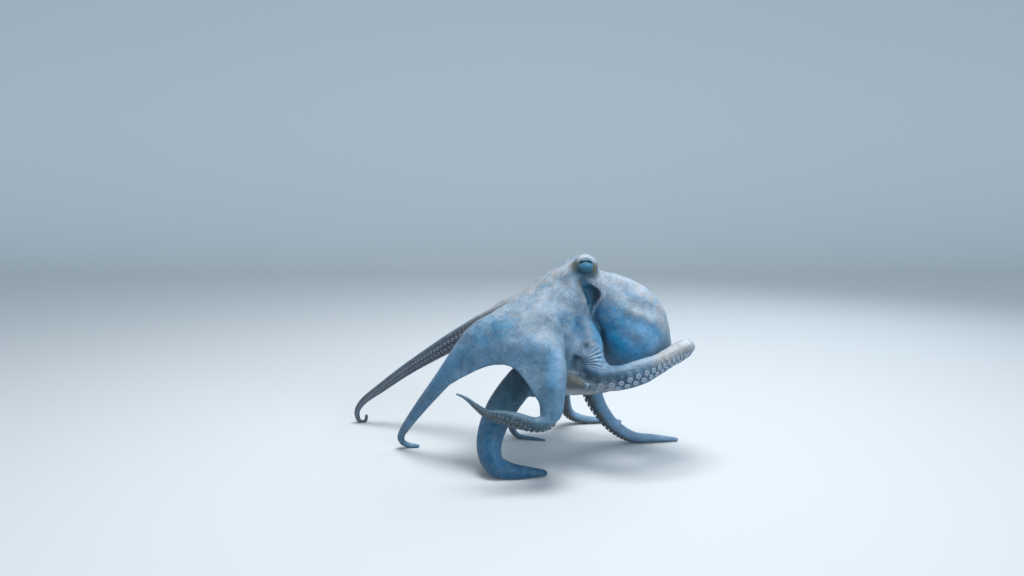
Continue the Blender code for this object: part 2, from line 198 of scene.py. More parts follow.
def curveThrough(points, shares):
    # values at shares (0 to 1) of a smooth curve through evenly numbered points
    points = np.array(points, float)
    padded = np.concatenate([2 * points[:1] - points[1:2], points,
                             2 * points[-1:] - points[-2:-1]])
    at = np.clip(shares, 0, 1) * (len(points) - 1)
    k = np.minimum(at.astype(int), len(points) - 2)
    u = at - k
    if points.ndim > 1:
        u = u[:, None]
    a, b, c, d = (padded[k + i] for i in range(4))
    return (b * 2 + (c - a) * u + (a * 2 - b * 5 + c * 4 - d) * u ** 2
            + (b * 3 - a - c * 3 + d) * u ** 3) * .5


class ArmLine:
    # an arm's middle line, measured along its length

    def __init__(self, arm):
        self.arm = arm
        self.fine = curveThrough(arm["route"], np.linspace(0, 1, 801))
        steps = np.linalg.norm(np.diff(self.fine, axis=0), axis=1)
        self.marks = np.concatenate([[0], np.cumsum(steps)])
        self.length = self.marks[-1]

    def at(self, s):
        return np.stack([np.interp(s, self.marks, self.fine[:, i]) for i in range(3)], axis=-1)

    def sections(self, s):
        # centre, sucker-side direction, sideways direction and radius at distances s
        reach = .004   # the direction is taken over this far each way
        along = unit(self.at(s + reach) - self.at(s - reach))
        oral = curveThrough(self.arm["oral"], s / self.length)
        oral = unit(oral - along * (oral * along).sum(1, keepdims=True))
        radius = curveThrough(self.arm["radius"], s / self.length)
        return self.at(s), oral, np.cross(along, oral), radius


lines = {name: ArmLine(arm) for name, arm in arms.items()}


def gridFaces(rows, columns, wrap, start=0):
    faces = []
    for r in range(rows - 1):
        for c in range(columns if wrap else columns - 1):
            here = start + r * columns + c
            beside = start + r * columns + (c + 1) % columns
            faces.append((here, beside, beside + columns, here + columns))
    return faces


def tubeMesh(name, rings):
    rows, sides = rings.shape[:2]
    verts = rings.reshape(-1, 3)
    faces = gridFaces(rows, sides, True)
    faces.append(tuple(reversed(range(sides))))
    faces.append(tuple(range((rows - 1) * sides, rows * sides)))
    return newMesh(name, verts, faces)


def armMesh(name, line):
    # round on the outside, flatter on the sucker side, closing to a round tip
    count = round(line.length / skinFit["armStep"])
    s = np.linspace(0, line.length, count + 1)
    centre, oral, side, radius = line.sections(s)
    tip = radius[-1] * skinFit["armTip"]
    past = np.clip((s - (line.length - tip)) / tip, 0, .995)
    radius = radius * np.sqrt(1 - past ** 2)
    turn = 2 * pi * (np.arange(skinFit["armSides"]) + .5) / skinFit["armSides"]
    up = np.sin(turn)
    deep, power = skinFit["armUnder"]
    rise = np.where(up > 0, up * skinFit["armBack"],
                    -np.abs(up) ** power * (deep - skinFit["suckerRoom"]))
    rings = (centre[:, None] + side[:, None] * (np.cos(turn)[None, :, None] * radius[:, None, None])
             - oral[:, None] * (rise[None, :, None] * radius[:, None, None]))
    rings[..., 2] = np.maximum(rings[..., 2], 0)
    return tubeMesh(name, rings)


def bodyMesh(name, shape, steps=60, sides=64):
    # sections across a line in the middle plane
    places = np.array([(x, 0, z) for x, z in shape["line"]])
    t = np.linspace(0, 1, steps + 1)
    centre = curveThrough(places, t)
    along = unit(np.gradient(centre, axis=0))
    upward = np.cross((0, 1, 0), along)
    turn = 2 * pi * np.arange(sides) / sides
    lift = np.where(np.sin(turn) > 0, 1, shape["under"]) * np.sin(turn)
    rise = curveThrough(shape["high"], t)[:, None] * lift
    over = curveThrough(shape["wide"], t)[:, None] * np.cos(turn)
    return tubeMesh(name, centre[:, None] + upward[:, None] * rise[..., None]
                    + np.array((0, 1, 0)) * over[..., None])


def webMesh(name, web):
    # a sheet from arm to arm that meets their backs smoothly near the crown
    across, down = skinFit["webGrid"]
    u = np.linspace(0, 1, across + 1)
    dome = 4 * u * (1 - u)
    near, least, (high, low) = skinFit["webStart"], skinFit["webSwell"], skinFit["webLift"]
    rows = []
    for share in np.linspace(0, 1, down + 1):
        v = share * (1 - web["arch"] * dome)
        lift = (high + (low - high) * v)[:, None]
        ends = []
        for arm, reach in zip(web["arms"], web["reach"]):
            centre, oral, _, radius = lines[arm].sections(near + v * (reach - near))
            ends.append((centre - oral * radius[:, None] * lift, -oral))
        outward = unit(ends[0][1] * (1 - u)[:, None] + ends[1][1] * u[:, None])
        swell = web["swell"] * dome * (least + (1 - least) * v)
        rows.append(ends[0][0] * (1 - u)[:, None] + ends[1][0] * u[:, None]
                    + outward * swell[:, None])
    sheet = np.array(rows)
    normal = unit(np.cross(np.gradient(sheet, axis=0), np.gradient(sheet, axis=1)))
    thick = np.linspace(*skinFit["webThick"], down + 1)[:, None, None] / 2
    faces = gridFaces(down + 1, across + 1, False)
    count = sheet.shape[0] * sheet.shape[1]
    faces = [tuple(reversed(f)) for f in faces] + [tuple(i + count for i in f) for f in faces]
    wide = across + 1
    rim = (list(range(wide)) + [(k + 1) * wide - 1 for k in range(1, down + 1)]
           + [down * wide + i for i in range(wide - 2, -1, -1)]
           + [k * wide for k in range(down - 1, 0, -1)])
    faces += [(a, b, b + count, a + count) for a, b in zip(rim, rim[1:] + rim[:1])]
    verts = np.concatenate([(sheet + normal * thick).reshape(-1, 3),
                            (sheet - normal * thick).reshape(-1, 3)])
    made = newMesh(name, verts, faces)
    faceOutwards(made)
    return made


eyes = dict(
    radius=.0105,
    places={"left": (.0945, -.0285, .259), "right": (.0875, .0285, .2545)},
    mound=(.017, .015, .014), moundInset=.008,
    gaze=(0, 1, .1),         # outward, tipped a little upward, for the +Y side
    open=(.0088, .006),      # half width and half height of the opening between the lids
    openRise=.0008,          # how far its middle stands above the eye's
    openRound=2.3,           # 2 makes the opening an ellipse, more makes it squarer
    lid=.0009,               # the upper lid stands this far off the ball
    lidThin=(.25, -.005, .002),   # the lower lid's share of that, and where it changes to the upper
    # how far the skin swells over and under the lids, how far from the middle, its half sizes
    brow=(.002, .0092, .0034, .011), pouch=(.001, -.0092, .0032, .0085),
    behind=.0012,            # inside the opening the skin passes this far behind the ball's face
    lidEdge=(.88, 1.1), lidFade=(1.35, 2.3),   # where the lid rises and where it ends, in openings
    lidFront=(-.001, .004), lidReach=.022,
)
# the slot between the mantle's edge and the head, on each side: its outline seen from the
# side, about its middle, and how wide it is at each depth from the middle plane
aperture = dict(
    middle=(.103, .219),
    outline=[(.1036, .1925), (.106, .199), (.108, .2055), (.1112, .2118), (.1142, .2172),
             (.115, .2225), (.1138, .2272), (.11, .231), (.105, .2345), (.099, .2385),
             (.0935, .241), (.0898, .24), (.0897, .236), (.0915, .229), (.094, .2215),
             (.0966, .2139), (.1, .204)],
    depths=[(.062, 1.25), (.042, 1.08), (.034, 1), (.028, .94), (.022, .8), (.018, .62),
            (.016, .4)],
)
# the neck between head and mantle, the hill under each eye, and the funnel below the neck
neck = dict(centre=(.106, 0, .201), half=(.015, .0205, .018))
eyeHill = dict(shift=(-.0015, -.011, -.0115), half=(.019, .015, .019))
# the ridge that falls from each eye towards the arms
ridge = dict(route=[(.092, .02, .256), (.08, .017, .2505), (.065, .015, .2405), (.045, .013, .2265),
                    (.026, .013, .2155), (.006, .022, .201)],
             radius=[.012, .0135, .014, .014, .013, .01])
funnel = dict(route=[(.116, 0, .204), (.111, 0, .192), (.106, 0, .178), (.101, 0, .166)],
              radius=[.012, .0105, .008, .0062], steps=24,
              wall=.0016, bore=11, past=.5)   # the bore starts at that step and passes the end


def addBall(name, centre, half, turns=48, levels=32):
    deselectAll()
    bpy.ops.mesh.primitive_uv_sphere_add(segments=turns, ring_count=levels, radius=1,
                                         location=centre)
    ball = bpy.context.object
    ball.name = name
    ball.scale = half
    bpy.ops.object.transform_apply(location=True, rotation=True, scale=True)
    return ball


def cutAway(target, cutter):
    applyModifier(target, "BOOLEAN", operation="DIFFERENCE", solver="EXACT", object=cutter)


def apertureCutter(sign):
    # the slot as a solid that narrows inward
    outline = np.array(aperture["outline"])
    closed = np.concatenate([outline, outline[:1]])
    outline = curveThrough(closed, np.linspace(0, 1, 97)[:-1]) - aperture["middle"]
    rings = []
    for depth, grow in aperture["depths"]:
        x, z = (outline * grow + aperture["middle"]).T
        rings.append(np.stack([x, np.full(len(x), depth * sign), z], axis=1))
    cutter = tubeMesh("apertureCutter", np.array(rings))
    faceOutwards(cutter)
    return cutter


def roundTube(name, centre, radius, sides=28):
    # a tube with round sections at the given places
    along = unit(np.gradient(centre, axis=0))
    across = unit(np.cross((0, 1, 0), along))
    third = np.cross(along, across)
    turn = 2 * pi * np.arange(sides) / sides
    radius = radius[:, None, None]
    return tubeMesh(name, centre[:, None] + across[:, None] * (np.cos(turn)[:, None] * radius)
                    + third[:, None] * (np.sin(turn)[:, None] * radius))


def funnelMesh():
    # a soft tube, open at its lower end
    s = np.linspace(0, 1, funnel["steps"])
    centre, radius = curveThrough(funnel["route"], s), curveThrough(funnel["radius"], s)
    tube = roundTube("funnel", centre, radius)
    centre[-1] += (centre[-1] - centre[-2]) * funnel["past"]
    start = funnel["bore"]
    bore = roundTube("bore", centre[start:], radius[start:] - funnel["wall"])
    cutAway(tube, bore)
    bpy.data.objects.remove(bore, do_unlink=True)
    return tube


def ridgeMesh(sign):
    s = np.linspace(0, 1, 40)
    centre = curveThrough(ridge["route"], s) * (1, sign, 1)
    return roundTube("ridge", centre, curveThrough(ridge["radius"], s))


def makeBodyParts():
    parts = [bodyMesh("head", body["head"]), bodyMesh("mantle", body["mantle"]),
             addBall("neck", neck["centre"], neck["half"])]
    for sign in (-1, 1):
        cutter = apertureCutter(sign)
        for part in parts:
            cutAway(part, cutter)
        bpy.data.objects.remove(cutter, do_unlink=True)
    parts.append(funnelMesh())
    for x, y, z in eyes["places"].values():
        sign = 1 if y > 0 else -1
        parts.append(addBall("mound", (x, y - eyes["moundInset"] * sign, z), eyes["mound"]))
        parts.append(ridgeMesh(sign))
        over, inward, drop = eyeHill["shift"]
        parts.append(addBall("eyeHill", (x + over, y + inward * sign, z + drop), eyeHill["half"]))
    return parts


def fuseParts(parts, name, voxel):
    makeActive(parts[0])
    for part in parts:
        part.select_set(True)
    bpy.ops.object.join()
    fused = bpy.context.object
    fused.name = fused.data.name = name
    applyModifier(fused, "REMESH", mode="VOXEL", voxel_size=voxel)
    return fused


def copyOf(item):
    made = item.copy()
    made.data = item.data.copy()
    bpy.context.collection.objects.link(made)
    return made


def getPlaces(mesh):
    places = np.empty(len(mesh.vertices) * 3, np.float32)
    mesh.vertices.foreach_get("co", places)
    return places.reshape(-1, 3).astype(float)


def setPlaces(mesh, places):
    mesh.vertices.foreach_set("co", places.astype(np.float32).ravel())
    mesh.update()


def getNormals(mesh):
    normals = np.empty(len(mesh.vertices) * 3, np.float32)
    mesh.vertex_normals.foreach_get("vector", normals)
    return normals.reshape(-1, 3).astype(float)


class Relaxer:
    # averages each place with its neighbours'

    def __init__(self, mesh):
        ends = np.empty(len(mesh.edges) * 2, np.int32)
        mesh.edges.foreach_get("vertices", ends)
        ends = ends.reshape(-1, 2)
        self.here = np.concatenate([ends[:, 0], ends[:, 1]])
        self.there = np.concatenate([ends[:, 1], ends[:, 0]])
        self.count = len(mesh.vertices)
        self.share = 1 / np.maximum(np.bincount(self.here, minlength=self.count), 1)

    def pull(self, places):
        sums = [np.bincount(self.here, places[self.there, i], self.count) for i in range(3)]
        return np.stack(sums, axis=1) * self.share[:, None] - places


def nearPoint(places, centre, near, far):
    # 1 within near of a point, falling to 0 beyond far
    return 1 - smoothStep(near, far, np.linalg.norm(places - np.array(centre), axis=1))


def apertureShare(places):
    # distance from the slot's middle as a share of its outline's in that direction
    outline = np.array(aperture["outline"]) - aperture["middle"]
    turns = np.arctan2(outline[:, 1], outline[:, 0])
    over, up = places[:, 0] - aperture["middle"][0], places[:, 2] - aperture["middle"][1]
    reach = np.interp(np.arctan2(up, over), turns[np.argsort(turns)],
                      np.hypot(*outline.T)[np.argsort(turns)], period=2 * pi)
    return np.hypot(over, up) / reach


# where flesh fills the creases: freely round the crown and the eyes, not in the slot nor by
# the mantle, and how fast
filling = dict(
    crown=((.052, 0, .195), .085, .17), elsewhere=.15, eye=(.022, .036),
    slot=(1.0, 1.3), slotBed=.008, mantle=(.09, .102), mantleTop=(.205, .222),
    rate=.8, smooth=.5, ease=(.15, .35),
)


def fillShare(places):
    # how freely flesh fills the creases at each place
    slot = smoothStep(*filling["slot"], apertureShare(places))
    slot = np.where(np.abs(places[:, 1]) > filling["slotBed"], slot, 1)
    byMantle = smoothStep(*filling["mantle"], places[:, 0])
    byMantle *= 1 - smoothStep(*filling["mantleTop"], places[:, 2])
    least = filling["elsewhere"]
    fill = least + (1 - least) * nearPoint(places, *filling["crown"])
    for eye in eyes["places"].values():
        fill = np.maximum(fill, nearPoint(places, eye, *filling["eye"]))
    return fill * slot * (1 - byMantle)


def fillCreases(skin, rounds, ease=4):
    # creases between arms, webs and head are filled; outer forms stay
    relax = Relaxer(skin.data)
    places = getPlaces(skin.data)
    fill = fillShare(places)
    for k in range(rounds):
        if k % 10 == 0:
            setPlaces(skin.data, places)
            normals = getNormals(skin.data)
        pull = relax.pull(places)
        out = (pull * normals).sum(1)
        places += normals * (np.maximum(out, 0) * fill * filling["rate"])[:, None]
        if k % 3 == 0:
            places += relax.pull(places) * (filling["smooth"] * fill)[:, None]
    least, more = filling["ease"]
    for _ in range(ease):
        places += relax.pull(places) * (least + more * fill)[:, None]
    setPlaces(skin.data, places)


def makeFlesh(parts):
    # a coarse copy of everything with its creases filled, kept just under the fine surface
    flesh = fuseParts([copyOf(part) for part in parts], "flesh", skinFit["fleshVoxel"])
    fillCreases(flesh, skinFit["fleshRounds"])
    places = getPlaces(flesh.data)
    under = skinFit["fleshUnder"] * (1 - skinFit["fleshRise"] * fillShare(places))
    setPlaces(flesh.data, places - getNormals(flesh.data) * under[:, None])
    return flesh


def waves(places, size, seed, count=9):
    # a smooth random field from about -1 to 1, with lumps of about the given size
    dice = np.random.default_rng(seed)
    total = np.zeros(len(places))
    for _ in range(count):
        toward = unit(dice.normal(size=3))
        often = pi / size * dice.uniform(.6, 1.3)
        total += np.sin(places @ toward * often + dice.uniform(0, 2 * pi))
    return total / (count / 2) ** .5 / 1.5


def pathDistance(places, path):
    # distance to a path of straight runs, and the share along it
    path = np.array(path, float)
    best = np.full(len(places), 1e9)
    along = np.zeros(len(places))
    runs = np.linalg.norm(np.diff(path, axis=0), axis=1)
    starts = np.concatenate([[0], np.cumsum(runs)])
    for k, run in enumerate(runs):
        a, way = path[k], (path[k + 1] - path[k]) / run
        t = np.clip((places - a) @ way, 0, run)
        away = np.linalg.norm(places - a - t[:, None] * way, axis=1)
        closer = away < best
        best = np.where(closer, away, best)
        along = np.where(closer, (starts[k] + t) / starts[-1], along)
    return best, along


class ArmMap:
    # for each place, the nearest section of any arm: its sucker-side and sideways directions,
    # its radius, the way and the distance from it, how far along the arm it is, and which arm
    def __init__(self, places):
        runs = [np.arange(.01, line.length, .0025) for line in lines.values()]
        values = [line.sections(run) for line, run in zip(lines.values(), runs)]
        centre, oral, side, radius = (np.concatenate(parts) for parts in zip(*values))
        tree = kdtree.KDTree(len(centre))
        for k, spot in enumerate(centre):
            tree.insert(spot, k)
        tree.balance()
        near = np.array([tree.find(place)[1] for place in places])
        self.oral, self.side, self.radius = oral[near], side[near], radius[near]
        self.away = places - centre[near]
        self.reach = np.linalg.norm(self.away, axis=1)
        names = [np.full(len(run), name) for name, run in zip(lines, runs)]
        self.name = np.concatenate(names)[near]
        self.s = np.concatenate(runs)[near]


# soft bands raised along a path over the skin (sunk where the height is below 0): the path,
# the band's width and its height
folds = [
    # the long fold across the mantle's side, and the hollow above it
    ([(.14, -.04, .206), (.152, -.041, .201), (.165, -.04, .197), (.178, -.036, .189),
      (.188, -.032, .18)], .0075, .003),
    ([(.146, -.038, .217), (.158, -.037, .212), (.172, -.033, .206), (.186, -.026, .197)],
     .009, -.003),
    # the hollow that runs from under the near eye down to the slot
    ([(.093, -.037, .246), (.0925, -.036, .24), (.094, -.034, .234)], .007, -.0042),
    # the deep crease between the left second arm and the root of the raised one, and the
    # knot over it
    ([(.083, -.055, .148), (.0785, -.058, .139), (.0745, -.063, .126)], .0045, -.006),
    ([(.089, -.056, .159), (.0955, -.055, .16)], .0045, -.0014),
]
# the mantle's free edge along the slot, on each side
rimPath = [(.102, .03, .2385), (.111, .031, .233), (.116, .031, .227), (.1172, .031, .219),
           (.1125, .03, .2105), (.108, .028, .204)]
folds += [(np.array(rimPath) * (1, sign, 1), .0026, .0018) for sign in (-1, 1)]

# skin wrinkles that spread like a fan from a point: seen from the side, the point and the
# middle of the fan, how far it reaches from that middle, the turn from one to the next, and height
wrinkles = [
    dict(point=(.078, .139), middle=(.101, -.064, .145), reach=(.008, .024), turn=.125, high=.0013),
    dict(point=(.05, .128), middle=(.13, -.08, .133), reach=(.006, .034), turn=.045, high=.0007),
    dict(point=(.098, .19), middle=(.088, -.056, .159), reach=(.003, .014), turn=.11, high=.0006),
]


# suckers, in two staggered rows down every arm
suckers = dict(
    sides=12,
    # radius and height of each ring, for a sucker of radius 1: stalk, flare, rim and cup
    rings=[(.66, -.4), (.62, .1), (.88, .34), (1.0, .54), (.92, .74), (.66, .76), (.36, .56)],
    across=.45,        # of its diameter to the arm's radius
    largest=.0074,     # diameter
    smallest=.0011,
    spread=18,         # degrees each row stands from the middle of the sucker side
    spacing=.64,       # from one to the next in the other row, in diameters
    start=.04, end=.002,   # from the mouth end of the arm and from its tip
    first=.62, grown=.05,  # share of its size the first has, and how far on they reach it all
    clear=.0012,       # none sits lower than this over the floor
    cup=(.95, .35), cupFloor=.1,   # the cup is inside the rim, over the stalk
    pale=dict(left_4=.95, right_1=.6, left_2=.05), paleElse=.15,   # how pale the rims are
    # the folds beside them: degrees from the sucker side where they start and end, how high
    # they are and how far out they reach, in radii of the arm, and the suckers they start over
    foldFrom=(20, 32), foldTo=(38, 66), foldHigh=.06, foldReach=1.25, foldStart=(2, 5),
)


def suckerSteps(line):
    # distance along the arm, row and diameter of each sucker
    steps = []
    s, row = suckers["start"], 1
    start, first = suckers["start"], suckers["first"]
    while s < line.length - suckers["end"]:
        size = min(suckers["largest"], line.sections(np.array([s]))[3][0] * suckers["across"])
        size *= first + (1 - first) * float(smoothStep(start, start + suckers["grown"], s))
        if size < suckers["smallest"]:
            break
        steps.append((s, row, size))
        s += size * suckers["spacing"]
        row = -row
    return steps


def suckerFolds(places):
    # the skin beside each sucker gathers into a short fold up the arm's flank
    arm = ArmMap(places)
    lean = np.degrees(np.arctan2((arm.away * arm.side).sum(1), (arm.away * arm.oral).sum(1)))
    lift = np.zeros(len(places))
    low, high = suckers["foldStart"]
    for name, line in lines.items():
        steps = suckerSteps(line)
        for row in (-1, 1):
            marks = [s for s, side, _ in steps if side == row]
            turns = np.interp(arm.s, marks, np.arange(len(marks)))
            flank = smoothStep(*suckers["foldFrom"], lean * row)
            flank *= 1 - smoothStep(*suckers["foldTo"], lean * row)
            here = (arm.name == name) * flank * smoothStep(marks[low], marks[high], arm.s)
            lift += here * arm.radius * suckers["foldHigh"] * np.cos(2 * pi * turns)
    return lift * (arm.reach < arm.radius * suckers["foldReach"])


# how the wrinkles wander and break up: the size and seed of each field, and its share
wander = dict(size=.02, seed=5, share=.5)
broken = dict(size=.009, seed=8, share=.45)


def wrinkleWave(places):
    # height of the fine wrinkles, above and below the skin round them
    lift = np.zeros(len(places))
    for fold in wrinkles:
        near = nearPoint(places, fold["middle"], *fold["reach"])
        way = np.arctan2(places[:, 2] - fold["point"][1], places[:, 0] - fold["point"][0])
        way += waves(places, wander["size"], wander["seed"]) * wander["share"] * fold["turn"]
        part = broken["share"]
        whole = 1 - part + part * waves(places, broken["size"], broken["seed"])
        lift += fold["high"] * near * whole * np.sin(2 * pi * way / fold["turn"])
    return lift


relief = dict(
    ends=.18, endShare=.25,     # a fold fades over this share of its path, to this share
    lumps=[(.0011, .026, 11), (.0005, .012, 12)],   # height, size and seed
    body=((.09, 0, .19), .09, .19),                 # where the lumps are
    floor=(.002, .012),         # the relief fades out down to the floor
)


def sculptSkin(skin):
    places = getPlaces(skin.data)
    normals = getNormals(skin.data)
    lift = np.zeros(len(places))
    least = relief["endShare"]
    for path, wide, high in folds:
        away, along = pathDistance(places, path)
        ends = smoothStep(0, relief["ends"], along) * smoothStep(0, relief["ends"], 1 - along)
        band = np.exp(-(away / wide) ** 2)
        lift += high * band * (least + (1 - least) * ends)
    lift += wrinkleWave(places)
    lift += suckerFolds(places)
    lumps = sum(high * waves(places, size, seed) for high, size, seed in relief["lumps"])
    lift += nearPoint(places, *relief["body"]) * lumps
    places += normals * (lift * smoothStep(*relief["floor"], places[:, 2]))[:, None]
    for eye in eyes["places"].values():
        places = sculptLids(places, np.array(eye), 1 if eye[1] > 0 else -1)
    places[:, 2] = np.maximum(places[:, 2], 0)
    setPlaces(skin.data, places)


def eyeAxes(sign):
    # out of the head, forward and up, for the eye on one side
    out = unit(np.array(eyes["gaze"]) * (1, sign, 1))
    forward = unit(np.cross(out, (0, 0, 1))) * -sign
    return out, forward, np.cross(out, forward) * sign


def lidShare(places, eye, sign):
    # 1 at the edges of the opening between an eye's lids, 0 in its middle; and the place
    # measured forward, up and outward from the eye's centre
    out, forward, up = eyeAxes(sign)
    away = places - eye
    x, z, depth = away @ forward, away @ up, away @ out
    wide, tall = eyes["open"]
    power = eyes["openRound"]
    rise = np.abs((z - eyes["openRise"]) / tall)
    share = (np.abs(x / wide) ** power + rise ** power) ** (1 / power)
    return share, x, z, depth


def sculptLids(places, eye, sign):
    # the skin closes over the ball as a lid, and dips behind it inside the opening
    share, x, z, depth = lidShare(places, eye, sign)
    away = places - eye
    reach = np.linalg.norm(away, axis=1)
    thin, low, high = eyes["lidThin"]
    outer = eyes["radius"] + eyes["lid"] * (thin + (1 - thin) * smoothStep(low, high, z))
    for swell, middle, tall, wide in (eyes["brow"], eyes["pouch"]):
        outer += swell * np.exp(-((z - middle) / tall) ** 2 - (x / wide) ** 2)
    inner = eyes["radius"] - eyes["behind"]
    wanted = inner + (outer - inner) * smoothStep(*eyes["lidEdge"], share)
    blend = 1 - smoothStep(*eyes["lidFade"], share)
    blend *= smoothStep(*eyes["lidFront"], depth) * (reach < eyes["lidReach"])
    scale = (wanted / np.maximum(reach, 1e-6) - 1) * blend
    return places + away * scale[:, None]


def refineNear(skin, centre, reach):
    # smaller faces round a place that needs fine forms
    work = bmesh.new()
    work.from_mesh(skin.data)
    middle = Vector(centre)
    near = [e for e in work.edges if all((v.co - middle).length < reach for v in e.verts)]
    bmesh.ops.subdivide_edges(work, edges=near, cuts=1, use_grid_fill=True, smooth=0)
    work.to_mesh(skin.data)
    work.free()


def finishSkin(skin):
    applyModifier(skin, "TRIANGULATE")
    share = skinFit["triangles"] / len(skin.data.polygons)
    if share < 1:
        applyModifier(skin, "DECIMATE", ratio=share)
    work = bmesh.new()
    work.from_mesh(skin.data)
    bmesh.ops.dissolve_degenerate(work, dist=skinFit["shortest"], edges=work.edges)
    for vert in work.verts:
        vert.co.z = max(vert.co.z, 0)
    for face in work.faces:
        face.smooth = True
    work.to_mesh(skin.data)
    work.free()


parts = makeBodyParts()
parts += [armMesh(f"arm_{name}", line) for name, line in lines.items()]
parts += [webMesh(f"web_{name}", web) for name, web in webs.items()]
print("parts made")
parts.append(makeFlesh(parts))
skin = fuseParts(parts, "skin", skinFit["voxel"])
print("fused", len(skin.data.vertices))
fillCreases(skin, skinFit["fillRounds"])
print("creases filled")
for eye in eyes["places"].values():
    refineNear(skin, eye, skinFit["eyeFine"])
refineNear(skin, *skinFit["rootFine"])
sculptSkin(skin)
print("sculpted")
finishSkin(skin)
print("skin finished", len(skin.data.polygons))


def modelSucker():
    deselectAll()
    (radius, height), *rest = suckers["rings"]
    bpy.ops.mesh.primitive_circle_add(vertices=suckers["sides"], radius=radius, fill_type="NGON",
                                      location=(0, 0, height))
    item = bpy.context.object
    bpy.ops.object.transform_apply(location=True)
    bpy.ops.object.mode_set(mode="EDIT")
    bpy.ops.mesh.select_all(action="SELECT")
    for nextRadius, nextHeight in rest:
        grow = nextRadius / radius
        rise = (0, 0, nextHeight - height)
        bpy.ops.mesh.extrude_region_move(TRANSFORM_OT_translate={"value": rise})
        bpy.ops.transform.resize(value=(grow, grow, 1))
        radius, height = nextRadius, nextHeight
    faceOutwards(item)
    return item


def addShare(mesh, name, values):
    attribute = mesh.attributes.new(name, "FLOAT", "POINT")
    attribute.data.foreach_set("value", np.clip(values, 0, 1).astype(np.float32))


def suckerRows(line, surface):
    # centre, axis and radius of every sucker on an arm, set on the skin's surface
    found = []
    for s, row, size in suckerSteps(line):
        centre, oral, side, radius = (value[0] for value in line.sections(np.array([s])))
        tilt = radians(suckers["spread"]) * row
        toward = Vector(oral * cos(tilt) + side * sin(tilt))
        spot, normal, _, reach = surface.ray_cast(Vector(centre), toward, radius * 1.5)
        if spot and spot.z > suckers["clear"]:
            found.append((np.array(spot), unit(np.array(normal) + np.array(toward)), size / 2))
    return found


def makeSuckers(name, rows, shape, faces):
    # the modelled sucker copied to every place, as one mesh
    verts, allFaces = [], []
    for k, (spot, axis, radius) in enumerate(rows):
        over = unit(np.cross(axis, (.3, .5, .8)))
        turned = (shape[:, :1] * over + shape[:, 1:2] * np.cross(axis, over) + shape[:, 2:] * axis)
        verts.append(spot + turned * radius)
        allFaces += [tuple(i + k * len(shape) for i in face) for face in faces]
    verts = np.concatenate(verts)
    verts[:, 2] = np.maximum(verts[:, 2], .0001)
    made = newMesh(name, verts, allFaces)
    cup = smoothStep(*suckers["cup"], np.hypot(*shape[:, :2].T))
    cup *= shape[:, 2] > suckers["cupFloor"]
    addShare(made.data, "cup", np.tile(cup, len(rows)))
    pale = suckers["pale"].get(name.removeprefix("suckers_"), suckers["paleElse"])
    addShare(made.data, "pale", np.full(len(verts), pale))
    made.data.shade_smooth()
    return made


def hexColour(code):
    # an sRGB hex value as linear red, green, blue and alpha
    parts = [int(code[i:i + 2], 16) / 255 for i in (0, 2, 4)]
    return (*(p / 12.92 if p <= .04045 else ((p + .055) / 1.055) ** 2.4 for p in parts), 1)


def newMaterial(name):
    made = bpy.data.materials.new(name)
    made.use_nodes = True
    made.node_tree.nodes.clear()
    return made, made.node_tree


def addNode(tree, kind, settings=None, out=0, **inputs):
    # a node with its settings, and one of its outputs; an input is given by its name, or by
    # its number as _0, and takes a value or another node's socket
    node = tree.nodes.new("ShaderNode" + kind)
    for name, value in (settings or {}).items():
        setattr(node, name, value)
    for name, value in inputs.items():
        socket = node.inputs[int(name[1:]) if name[0] == "_" else name.replace("_", " ")]
        if isinstance(value, bpy.types.NodeSocket):
            tree.links.new(value, socket)
        else:
            socket.default_value = value
    return node.outputs[out] if len(node.outputs) else None


def addPatterns(tree, look, place, **found):
    # the look's patterns and painted shares, and the ranges taken from them, by name
    for name, (size, detail, rough, warp) in look["noises"].items():
        found[name] = addNode(tree, "TexNoise", Vector=place, Scale=1 / size, Detail=detail,
                              Roughness=rough, Distortion=warp)
    for name, (feature, size) in look.get("cells", {}).items():
        found[name] = addNode(tree, "TexVoronoi", dict(feature=feature), Vector=place,
                              Scale=1 / size)
    for name in look["painted"]:
        found[name] = addNode(tree, "Attribute", dict(attribute_name=name), "Fac")
    for name, (source, low, high, lowTo, highTo) in look["ranges"].items():
        found[name] = addNode(tree, "MapRange", dict(interpolation_type="SMOOTHSTEP"),
                              Value=found[source], From_Min=low, From_Max=high,
                              To_Min=lowTo, To_Max=highTo)
    return found


def layColours(tree, look, found):
    # the look's first colour, with its layers over it: each is a colour, and the shares that
    # multiply to give how much of it shows
    colours = {name: hexColour(code) for name, code in look["colours"].items()}
    mix = dict(data_type="RGBA")
    for name, other, share in look["blends"]:
        colours[name] = addNode(tree, "Mix", mix, 2, _0=found[share], _6=colours[name],
                                _7=colours[other])
    colour = next(iter(colours.values()))
    for over, share, *others in look["layers"]:
        share = found[share]
        for other in others:
            share = addNode(tree, "Math", dict(operation="MULTIPLY"), _0=share,
                            _1=found.get(other, other))
        colour = addNode(tree, "Mix", mix, 2, _0=share, _6=colour, _7=colours[over])
    return colour


